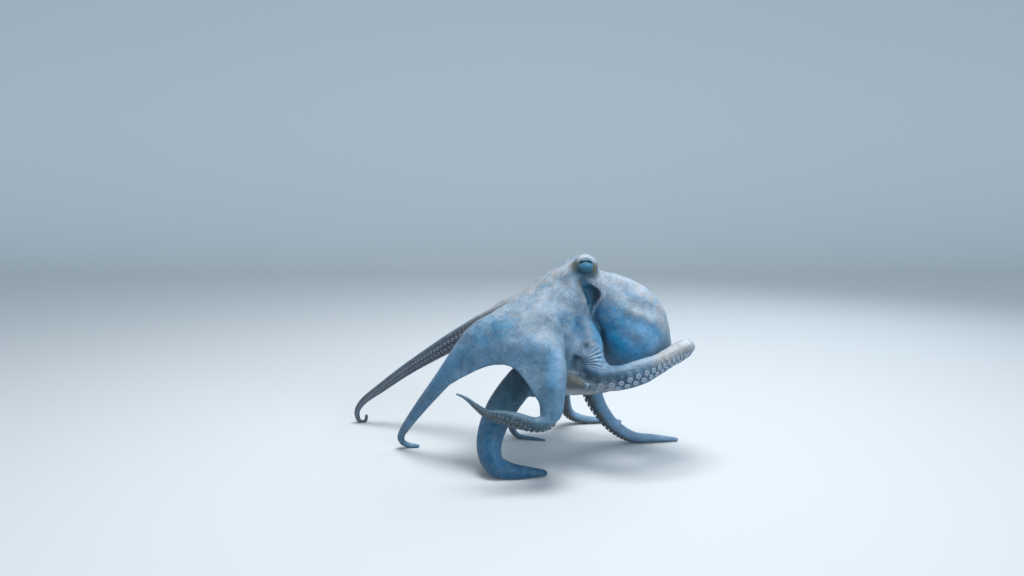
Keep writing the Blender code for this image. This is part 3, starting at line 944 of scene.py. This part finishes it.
# a noise has its size in metres, detail, roughness and distortion; a range has its source,
# where on that it starts and ends, and the values it runs between
skinLook = dict(
    colours=dict(
        # some of these colours are painted light: the blues and dark blue-greys are painted shade
        # and bluish shaded light, the near-black a painted shadow under the upper lids, and two
        # pale greys partly painted highlight
        pale="a7b2bf", paleDeep="8b9bab", paintedShadeBlue="4f96c4", paintedShadeDim="38627e", paintedBlueGlow="1c8cbd",
        deep="004a6c", paintedDarkShade="234858", paleAndHighlight="b2b6ba", tan="a59f99", pink="a6a1ad",
        rust="85796f", ochre="77683f", under="4a5a66", underBrown="5c5a55", slot="35607a",
        slotGrey="4e5c68", rim="b9c6d3", lidShadow="16222e", fleck="d9e2ea", net="55636f",
    ),
    noises=dict(
        blotch=(.032, 4, .6, .4), mottle=(.0085, 5, .62, .6), cloud=(.011, 5, .6, .8),
        pinkPatch=(.017, 3, .55, 0), rustPatch=(.0075, 5, .65, .5),
        # the skin's colour cells, drawn about three times as coarse as they are
        grain=(.0016, 3, .55, 0),
    ),
    cells=dict(net=("DISTANCE_TO_EDGE", .0042), fleck=("F1", .011)),
    painted=("paintedShadeBlue", "paintedShadeDim", "paintedBlueGlow", "deep", "paleAndHighlight", "warm", "paintedDarkShade", "ochre", "under", "slot",
             "slotRight", "grooveShade", "rim", "lidShadow"),
    ranges=dict(
        paleMix=("blotch", .35, .65, 0, 1), patchy=("blotch", .25, .75, .94, 1),
        tanMix=("mottle", .38, .62, 0, 1), pinkMix=("pinkPatch", .52, .7, 0, .55),
        rustMix=("rustPatch", .52, .66, 0, .6), brownMix=("mottle", .4, .6, 0, 1),
        spots=("fleck", .05, .11, .22, 0), lines=("net", 0, .16, .16, 0),
        grainShade=("grain", .25, .75, .84, 1.18), cloudShade=("cloud", .34, .66, .84, 1.18),
        gloss=("mottle", .3, .7, .4, .56),
    ),
    blends=[("under", "underBrown", "brownMix"), ("slot", "slotGrey", "slotRight")],
    # the layers paint shade by place, inside the slot and in the wrinkles' grooves, a shadow along
    # the upper lids, and partly highlight on the slot's rim, the hoods and some lit tops
    layers=[
        ("paleDeep", "paleMix"), ("paintedShadeBlue", "paintedShadeBlue", "patchy"), ("paintedShadeDim", "paintedShadeDim", "patchy"),
        ("paintedBlueGlow", "paintedBlueGlow", "patchy"), ("deep", "deep", "patchy"),
        ("paleAndHighlight", "paleAndHighlight", "patchy"), ("tan", "warm", "tanMix"),
        ("pink", "warm", "pinkMix"), ("rust", "warm", "rustMix"), ("paintedDarkShade", "paintedDarkShade"),
        ("ochre", "ochre"), ("under", "under"), ("slot", "slot"),
        ("paintedDarkShade", "grooveShade", .75), ("rim", "rim"), ("lidShadow", "lidShadow"),
        ("fleck", "spots"), ("net", "lines"),
    ],
    shades=[(.45, "grainShade"), (.9, "cloudShade")],   # how much each darkens and lightens
    bumps=[("net", .45, .0007), ("grain", .45, .0006), ("mottle", .6, .0016)],
)


def makeSkinMaterial():
    # wet living skin, smooth and faintly translucent: pale blue-grey with a fine net of darker
    # lines and drifts of tan, dark grey-brown under the arms; painted shade makes it bluer and
    # darker where it is shaded, low down, in hollows and creases, and painted highlight pales some
    # lit edges
    made, tree = newMaterial("octopusSkin")
    place = addNode(tree, "TexCoord", out="Object")
    found = addPatterns(tree, skinLook, place)
    colour = layColours(tree, skinLook, found)
    for share, name in skinLook["shades"]:
        colour = addNode(tree, "Mix", dict(data_type="RGBA", blend_type="MULTIPLY"), 2, _0=share,
                         _6=colour, _7=found[name])
    below = {}
    for name, strength, high in skinLook["bumps"]:
        below = dict(Normal=addNode(tree, "Bump", Strength=strength, Distance=high,
                                    Height=found[name], **below))
    shader = addNode(tree, "BsdfPrincipled", Base_Color=colour, Roughness=found["gloss"], IOR=1.38,
                     Specular_IOR_Level=.35, Subsurface_Weight=.12, Subsurface_Scale=.004,
                     Subsurface_Radius=(1, .8, .7), Coat_Weight=.06, Coat_Roughness=.25, **below)
    addNode(tree, "OutputMaterial", Surface=shader)
    return made


suckerLook = dict(
    colours=dict(rim="626f78", rimDeep="585f62", rimPale="93a3b4", cup="414d57", cupPale="8292a2"),
    noises=dict(patch=(.012, 3, .5, 0)),
    painted=("cup", "pale"),
    ranges=dict(rimMix=("patch", .35, .65, 0, 1)),
    blends=[("cup", "cupPale", "pale")],
    layers=[("rimDeep", "rimMix"), ("rimPale", "pale"), ("cup", "cup")],
)


def makeSuckerMaterial():
    # the same skin drawn tight over muscle: pale smooth rims, darker moist cups
    made, tree = newMaterial("octopusSucker")
    place = addNode(tree, "TexCoord", out="Object")
    colour = layColours(tree, suckerLook, addPatterns(tree, suckerLook, place))
    shader = addNode(tree, "BsdfPrincipled", Base_Color=colour, Roughness=.42, IOR=1.38,
                     Subsurface_Weight=.12, Subsurface_Scale=.003)
    addNode(tree, "OutputMaterial", Surface=shader)
    return made


# drifts of colour over the skin: the path of each, how wide it is and how strong. Besides the
# skin's own tan and ochre, most are painted light: the blue and dark ones painted shade and
# bluish shaded light, the pale chalky ones partly painted highlight
drifts = dict(
    warm=[
        ([(.096, -.022, .27), (.07, -.015, .258), (.037, -.012, .234), (-.016, .02, .202),
          (-.06, .05, .165)], .012, .75),
        ([(.11, -.02, .256), (.131, -.015, .2445), (.15, -.018, .234)], .013, .55),
        ([(.165, -.018, .228), (.19, -.022, .205), (.203, -.025, .178)], .01, .75),
        ([(.148, -.04, .202), (.17, -.04, .198), (.19, -.034, .188)], .008, .65),
        ([(.03, -.04, .21), (.048, -.06, .198)], .012, .3),
        ([(.096, -.052, .164), (.103, -.05, .162)], .005, .4),
        ([(.18, -.084, .155), (.205, -.07, .16), (.232, -.025, .15)], .01, .4),
    ],
    # pale drifts: partly the skin's paler tone, partly painted highlight on lit tops and edges such
    # as the mantle's upper corner
    paleAndHighlight=[
        ([(.15, -.086, .148), (.175, -.083, .152)], .007, .55),
        ([(.185, -.08, .15), (.225, -.05, .157), (.234, -.02, .15)], .014, 1.0),
        ([(.088, -.036, .236), (.0915, -.034, .222), (.0975, -.031, .205),
          (.101, -.026, .197)], .0042, .65),
        ([(.104, -.03, .24), (.118, -.03, .238)], .006, .55),
        # the pale lower edge of the web beneath the raised arm
        ([(.07, -.058, .1), (.099, -.057, .0985), (.109, -.073, .108),
          (.125, -.082, .1125)], .0075, 1.0),
    ],
    # painted shade: mid blue where the skin lies in shade
    paintedShadeBlue=[
        ([(.045, -.1, .16), (.048, -.111, .148), (.046, -.128, .125)], .014, .8),
        ([(.128, -.035, .2), (.145, -.041, .19), (.17, -.042, .18), (.182, -.04, .174)], .013, .95),
        ([(.15, -.032, .224), (.172, -.032, .214)], .01, .4),
        ([(-.1, -.035, .105), (-.079, -.05, .134), (-.06, -.055, .15)], .018, .85),
        ([(.082, -.04, .18), (.09, -.045, .172)], .009, .6),
        ([(.02, -.088, .17), (.034, -.095, .16)], .013, .6),
    ],
    # painted shade: dark grey-blue on shaded parts of the crown, webs, arms and mantle
    paintedShadeDim=[
        ([(-.05, -.045, .168), (-.028, -.054, .178), (.004, -.062, .186)], .02, .85),
        ([(.015, -.062, .188), (.041, -.065, .194), (.055, -.07, .184)], .012, .95),
        ([(-.06, -.055, .14), (-.027, -.072, .15), (.01, -.083, .154), (.03, -.09, .15)], .022, .9),
        ([(.062, -.052, .19), (.082, -.03, .188), (.099, -.05, .166)], .014, .9),
        ([(.045, -.129, .118), (.05, -.137, .094)], .016, .85),
        ([(-.1, -.035, .092), (-.125, -.01, .062), (-.152, .015, .02)], .02, .75),
        ([(.095, -.075, .13), (.11, -.085, .128), (.135, -.092, .128)], .012, .95),
        ([(.199, -.031, .158), (.19, -.02, .13)], .016, 1.0),
        ([(.15, -.036, .213), (.172, -.032, .206)], .007, .5),
        ([(.01, -.036, .209), (.03, -.04, .219)], .014, .34),
        ([(.122, -.018, .2475), (.136, -.023, .239), (.15, -.026, .231)], .01, .4),
        # the right second arm's end on the floor: partly its darker sucker side, partly painted
        # shade
        ([(.001, .072, .06), (-.001, .066, .017), (.009, .06, .004), (.049, .05, .001)], .018, .9),
    ],
    # painted light: a bright blue glow standing in for bluish light on the mantle's lower side and
    # parts of the crown
    paintedBlueGlow=[
        ([(.116, -.034, .19), (.128, -.036, .172), (.14, -.044, .155)], .019, 1.0),
        ([(.15, -.044, .15), (.165, -.046, .148), (.18, -.04, .15)], .019, .72),
        ([(-.034, -.06, .176), (-.015, -.064, .183)], .018, .42),
        ([(.075, -.045, .193), (.083, -.042, .186)], .012, .2),
    ],
    # painted shade: saturated deep blue on shaded lower parts, strongest down the third left arm
    # near the floor
    deep=[
        ([(-.02, -.08, .066), (-.029, -.091, .044), (-.026, -.096, .026), (.01, -.098, .01),
          (.045, -.09, .006)], .026, 1.0),
        ([(-.028, -.06, .178), (-.02, -.07, .167)], .014, .45),
        ([(-.086, -.05, .118), (-.079, -.05, .134)], .014, .3),
        ([(.045, -.128, .122), (.044, -.13, .112)], .01, .35),
        ([(.085, -.03, .19), (.095, -.045, .172), (.1, -.051, .164)], .01, .45),
        ([(.003, -.08, .16), (.018, -.086, .153)], .014, .35),
    ],
    # painted shade: darkest in hollows, creases, under the webs and along shadowed edges
    paintedDarkShade=[
        ([(.06, -.04, .14), (.032, -.055, .125), (.006, -.06, .105),
          (-.008, -.07, .092)], .024, .85),
        # painted shade in the hollow under each eye, down to the slot
        ([(.0815, -.036, .254), (.0935, -.037, .2495), (.106, -.034, .252)], .0075, 1.0),
        ([(.094, -.037, .25), (.0914, -.036, .243), (.093, -.034, .2368),
          (.0946, -.032, .2315)], .0088, 1.0),
        ([(.08, -.031, .263), (.0795, -.031, .257), (.084, -.032, .2515)], .0055, .9),
        ([(.0985, -.034, .246), (.1055, -.031, .2465)], .0046, .95),
        ([(.0745, .036, .25), (.0865, .037, .245), (.099, .034, .248)], .0075, 1.0),
        ([(.087, .037, .2455), (.085, .036, .239), (.09, .034, .235),
          (.0946, .032, .2315)], .008, 1.0),
        # painted shade in the crease at the root of the raised arm, and by the knot over it
        ([(.081, -.056, .145), (.0778, -.059, .137), (.0745, -.063, .126)], .0052, 1.0),
        ([(.089, -.056, .159), (.0955, -.055, .16)], .005, .65),
        ([(.078, -.062, .14), (.074, -.062, .125)], .006, .6),
        # the crown's shadowed edge against the mantle
        ([(.106, -.022, .195), (.111, -.0205, .18), (.12, -.025, .16),
          (.123, -.03, .145)], .006, .8),
        # the sucker side of the left second arm's raised end: partly its own darker colour, partly
        # painted shade
        ([(.03, -.142, .078), (-.002, -.143, .086), (-.04, -.14, .1)], .014, 1.0),
    ],
    ochre=[
        ([(.1055, -.034, .26), (.1085, -.03, .253)], .004, .85),
        ([(.08, -.031, .262), (.079, -.03, .257)], .0035, .45),
        ([(.07, -.066, .118), (.084, -.07, .116)], .009, .65),
        ([(.072, -.068, .108), (.078, -.07, .11)], .006, .6),
    ],
)


# where the painted shares lie: distances in metres, thicknesses in radii of the arm
paint = dict(
    mantle=(.1, .118), mantleThick=(1.25, 1.9),
    suckerSide=(.25, .6), suckerThick=(1.2, 1.6), facing=(.05, .6), facingShare=.85,
    crown=((.09, 0, .245), .035, .055),     # nothing here is under an arm
    # where painted shade grows: low down and on faces turned downward; the tan grows higher up
    low=(.2, .08), high=(.15, .21), down=(.75, -.25),
    flatter=(1, .45, 1),                    # a drift reaches further across the body than along it
    # the wrinkles' grooves are darkened with painted shade
    grooveShade=.001,                            # depth of a wrinkle that shows in full
    # the slot's inside is painted dark as shade, greyer towards its right
    slotEdge=(.8, 1.02), slotDeep=(.0335, .029), slotWall=.004, slotRight=(.103, .112),
    # the slot's pale rim: partly the skin's paler tone, partly painted highlight on the mantle's
    # edge
    rim=(1.07, .05, .8), rimFrom=(.104, .106), rimOut=.015,      # the slot's pale rim
    eyeFront=(0, .004), eyeReach=.018,
    # the upper lid's dark line is a painted shadow under the lid
    lidLine=(1, .14), lidUpper=(-.004, .002),                    # the dark line of the upper lid
    # the pale hood over each eye: partly the skin's paler tone, partly painted highlight
    hood=(1.12, 1.3), hoodUp=(.0035, .006), hoodShare=.5,        # the pale hood over it
)


def paintSkin(skin):
    # shares of each colouring, by place on the body
    mesh = skin.data
    places, normals = getPlaces(mesh), getNormals(mesh)
    aside, height = np.abs(places[:, 1]), places[:, 2]
    arm = ArmMap(places)
    dark = np.array([arms[name].get("darkUnder", 1) for name in arm.name])
    thick = arm.reach / arm.radius
    facing = (normals * arm.oral).sum(1)
    onMantle = smoothStep(*paint["mantle"], places[:, 0]) * smoothStep(*paint["mantleThick"], thick)
    suckerSide = smoothStep(*paint["suckerSide"], (arm.away * arm.oral).sum(1) / arm.reach)
    suckerSide *= 1 - smoothStep(*paint["suckerThick"], thick)
    under = np.maximum(suckerSide, smoothStep(*paint["facing"], facing) * paint["facingShare"])
    under *= (1 - onMantle) * dark * (1 - nearPoint(places, *paint["crown"]))
    addShare(mesh, "under", under)

    low, high = smoothStep(*paint["low"], height), smoothStep(*paint["high"], height)
    down = smoothStep(*paint["down"], normals[:, 2])
    # painted shade over all the skin: bluer and darker low down and on faces turned downward; a
    # little tan higher up
    base = dict(warm=.05 + .25 * high, paleAndHighlight=0, paintedShadeBlue=.2 + .25 * low, paintedShadeDim=.1 + .3 * down + .18 * low,
                paintedBlueGlow=0, deep=.15 * low + .2 * low * down, paintedDarkShade=0, ochre=0)
    flatter = np.array(paint["flatter"])
    for name, paths in drifts.items():
        total = np.zeros(len(places)) + base[name]
        for path, wide, strong in paths:
            distance, _ = pathDistance(places * flatter, np.array(path) * flatter)
            total = np.maximum(total, strong * np.exp(-(distance / wide) ** 2))
        addShare(mesh, name, total)

    # painted shade in the grooves of the fine wrinkles
    addShare(mesh, "grooveShade", -wrinkleWave(places) / paint["grooveShade"])
    # painted shade inside the slot, greyer towards its right
    slot = apertureShare(places)
    inSlot = (1 - smoothStep(*paint["slotEdge"], slot)) * smoothStep(*paint["slotDeep"], aside)
    addShare(mesh, "slot", inSlot * (aside > paint["slotWall"]))
    addShare(mesh, "slotRight", smoothStep(*paint["slotRight"], places[:, 0]))
    # the slot's pale rim and, below, the hood over each eye: partly paler skin, partly painted
    # highlight
    at, wide, strong = paint["rim"]
    rim = np.exp(-((slot - at) / wide) ** 2) * smoothStep(*paint["rimFrom"], places[:, 0]) * strong
    rim *= aside > paint["rimOut"]
    # painted shadow along the upper lid's edge
    lidShadow = np.zeros(len(places))
    at, wide = paint["lidLine"]
    for eye in eyes["places"].values():
        edge, _, z, depth = lidShare(places, np.array(eye), 1 if eye[1] > 0 else -1)
        front = smoothStep(*paint["eyeFront"], depth)
        front *= np.linalg.norm(places - np.array(eye), axis=1) < paint["eyeReach"]
        line = np.exp(-((edge - at) / wide) ** 2) * smoothStep(*paint["lidUpper"], z)
        lidShadow = np.maximum(lidShadow, front * line)
        hood = smoothStep(*paint["hood"], edge) * smoothStep(*paint["hoodUp"], z)
        rim = np.maximum(rim, front * hood * paint["hoodShare"])
    addShare(mesh, "lidShadow", lidShadow)
    addShare(mesh, "rim", rim)


skinMaterial = makeSkinMaterial()
suckerMaterial = makeSuckerMaterial()
paintSkin(skin)
skin.data.materials.clear()
skin.data.materials.append(skinMaterial)
flesh = [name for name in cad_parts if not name.startswith("eye_")]
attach(skin, "root")
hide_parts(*flesh)
print("skin painted")

surface = BVHTree.FromObject(skin, bpy.context.evaluated_depsgraph_get())
pattern = modelSucker()
patternShape = getPlaces(pattern.data)
patternFaces = [tuple(face.vertices) for face in pattern.data.polygons]
bpy.data.objects.remove(pattern, do_unlink=True)
total = 0
for name, line in lines.items():
    rows = suckerRows(line, surface)
    piece = makeSuckers(f"suckers_{name}", rows, patternShape, patternFaces)
    piece.data.materials.append(suckerMaterial)
    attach(piece, "root")
    total += len(rows)
print("suckers", total)


# an eyeball's shape, as shares of its radius
eyeball = dict(
    turns=96, levels=64,
    # the pupil, a sunk level slit
    slitRise=.56, slitBend=.36, slitHalf=(.17, .08), slitEnds=(.86, .74), slitDeep=.035,
    furrow=.5, furrowWide=.06, furrowDeep=.018,   # round the iris: how far forward, width and depth
    backFlat=.1,
)
eyeLook = dict(
    colours=dict(iris="3b7792", irisRay="54869c", irisLow="2c5566", pupil="0b1824"),
    noises=dict(rays=(1 / 6, 5, .7, 0)),   # in radii of the eye
    painted=(),
    ranges=dict(
        rayMix=("rays", .35, .65, 0, 1), lowMix=("up", .1, -.5, 0, .85),
        slit=("rise", .15, .1, 0, 1), ends=("aside", .84, .74, 0, 1),
    ),
    blends=[],
    layers=[("irisRay", "rayMix"), ("irisLow", "lowMix"), ("pupil", "slit", "ends")],
)


def makeEyeMaterial():
    # a wet eyeball: silvery-blue iris, a dark level slit near its top, a thin wet coat that
    # keeps off the slit
    made, tree = newMaterial("octopusEye")
    place = addNode(tree, "Attribute", dict(attribute_name="eyePlace"), "Vector")
    found = {name: addNode(tree, "SeparateXYZ", out=k, Vector=place)
             for name, k in (("x", 0), ("up", 2))}
    # how far a place is from the slit's middle line, and from its middle
    for name, how, first, second in (
            ("bend", "MULTIPLY", "x", "x"), ("bend", "MULTIPLY", "bend", eyeball["slitBend"]),
            ("rise", "ADD", "up", "bend"), ("rise", "SUBTRACT", "rise", eyeball["slitRise"]),
            ("rise", "ABSOLUTE", "rise", 0), ("aside", "ABSOLUTE", "x", 0)):
        found[name] = addNode(tree, "Math", dict(operation=how), _0=found[first],
                              _1=found.get(second, second))
    found = addPatterns(tree, eyeLook, place, **found)
    colour = layColours(tree, eyeLook, found)
    slit = addNode(tree, "Math", dict(operation="MULTIPLY"), _0=found["slit"], _1=found["ends"])
    wet = addNode(tree, "MapRange", dict(interpolation_type="SMOOTHSTEP"), Value=slit,
                  From_Min=0, From_Max=1, To_Min=.4, To_Max=0)
    shader = addNode(tree, "BsdfPrincipled", Base_Color=colour, Roughness=.35, IOR=1.38,
                     Coat_Weight=wet, Coat_Roughness=.12, Coat_IOR=1.34, Specular_IOR_Level=.12)
    addNode(tree, "OutputMaterial", Surface=shader)
    return made


def makeEye(side, material):
    centre = np.array(eyes["places"][side])
    sign = 1 if centre[1] > 0 else -1
    ball = addBall(f"eyeball_{side}", tuple(centre), (eyes["radius"],) * 3, eyeball["turns"],
                   eyeball["levels"])
    places = getPlaces(ball.data)
    out, forward, up = eyeAxes(sign)
    away = (places - centre) / eyes["radius"]
    own = np.stack([away @ forward, away @ out, away @ up], axis=1)
    x, front, rise = own.T
    above = rise + eyeball["slitBend"] * x ** 2 - eyeball["slitRise"]
    slit = smoothStep(*eyeball["slitHalf"], np.abs(above))
    slit *= smoothStep(*eyeball["slitEnds"], np.abs(x)) * (front > 0)
    furrow = np.exp(-((front - eyeball["furrow"]) / eyeball["furrowWide"]) ** 2)
    scale = 1 - eyeball["slitDeep"] * slit - eyeball["furrowDeep"] * furrow
    scale *= 1 - eyeball["backFlat"] * smoothStep(0, -1, front)
    setPlaces(ball.data, centre + away * scale[:, None] * eyes["radius"])
    ball.data.attributes.new("eyePlace", "FLOAT_VECTOR", "POINT").data.foreach_set(
        "vector", own.astype(np.float32).ravel())
    ball.data.materials.append(material)
    ball.data.shade_smooth()
    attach(ball, "root")
    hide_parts(f"eye_{side}")
    return ball


eyeMaterial = makeEyeMaterial()
for side in eyes["places"]:
    makeEye(side, eyeMaterial)
print("eyes made")

studio = dict(floorColour="ccd2d7", wide=14.0, depthFront=-7.0, depthBack=2.4, bend=1.4, wall=4.0)


def makeFloor():
    # a pale floor that curves up into a backdrop
    bend = studio["bend"]
    steps = [radians(a) for a in range(0, 91, 6)]
    profile = [(studio["depthFront"], 0)]
    profile += [(studio["depthBack"] + bend * sin(a), bend * (1 - cos(a))) for a in steps]
    profile.append((studio["depthBack"] + bend, studio["wall"]))
    half = studio["wide"] / 2
    verts = [(x, y, z - .00005) for y, z in profile for x in (-half, half)]
    faces = [(2 * k, 2 * k + 1, 2 * k + 3, 2 * k + 2) for k in range(len(profile) - 1)]
    floor = newMesh("studioFloor", verts, faces)
    floor.data.shade_smooth()
    # seamless studio paper: even, matt and pale
    made, tree = newMaterial("studioPaper")
    colour = hexColour(studio["floorColour"])
    shader = addNode(tree, "BsdfPrincipled", Base_Color=colour, Roughness=.85)
    addNode(tree, "OutputMaterial", Surface=shader)
    floor.data.materials.append(made)


# an area lamp has its size in metres and its power in watts, a sun its spread in radians
# and its power in watts per square metre
lamps = {
    "key": dict(kind="AREA", place=(.08, -.14, 1.6), size=.7, power=24, colour=(1.0, .98, .95)),
    "fill": dict(kind="SUN", place=(1.9, -2.3, 1.05), size=.52, power=1.52, colour=(.66, .87, 1.0)),
    "rim": dict(kind="AREA", place=(.9, 1.1, 1.15), size=.9, power=7, colour=(.9, .95, 1.0)),
}


def makeLamps():
    aim = Vector((.02, -.02, .14))
    for name, lamp in lamps.items():
        data = bpy.data.lights.new(name, lamp["kind"])
        setattr(data, "angle" if lamp["kind"] == "SUN" else "size", lamp["size"])
        data.energy = lamp["power"]
        data.color = lamp["colour"]
        item = bpy.data.objects.new(name, data)
        item.location = lamp["place"]
        item.rotation_euler = (aim - item.location).to_track_quat("-Z", "Y").to_euler()
        bpy.context.collection.objects.link(item)
    world = bpy.data.worlds.new("studio")
    bpy.context.scene.world = world
    world.use_nodes = True
    world.node_tree.nodes["Background"].inputs["Color"].default_value = (.74, .82, .9, 1)
    world.node_tree.nodes["Background"].inputs["Strength"].default_value = .4


view = dict(place=(0, -.99, .347), downward=6.92, lens=26.37, sensor=36)


def makeCamera():
    data = bpy.data.cameras.new("camera")
    data.lens, data.sensor_width, data.clip_start = view["lens"], view["sensor"], .01
    item = bpy.data.objects.new("camera", data)
    item.location = view["place"]
    item.rotation_euler = (radians(90 - view["downward"]), 0, 0)
    bpy.context.collection.objects.link(item)
    bpy.context.scene.camera = item


makeFloor()
makeLamps()
makeCamera()
bpy.context.scene.view_settings.view_transform = "Standard"
print("studio set")
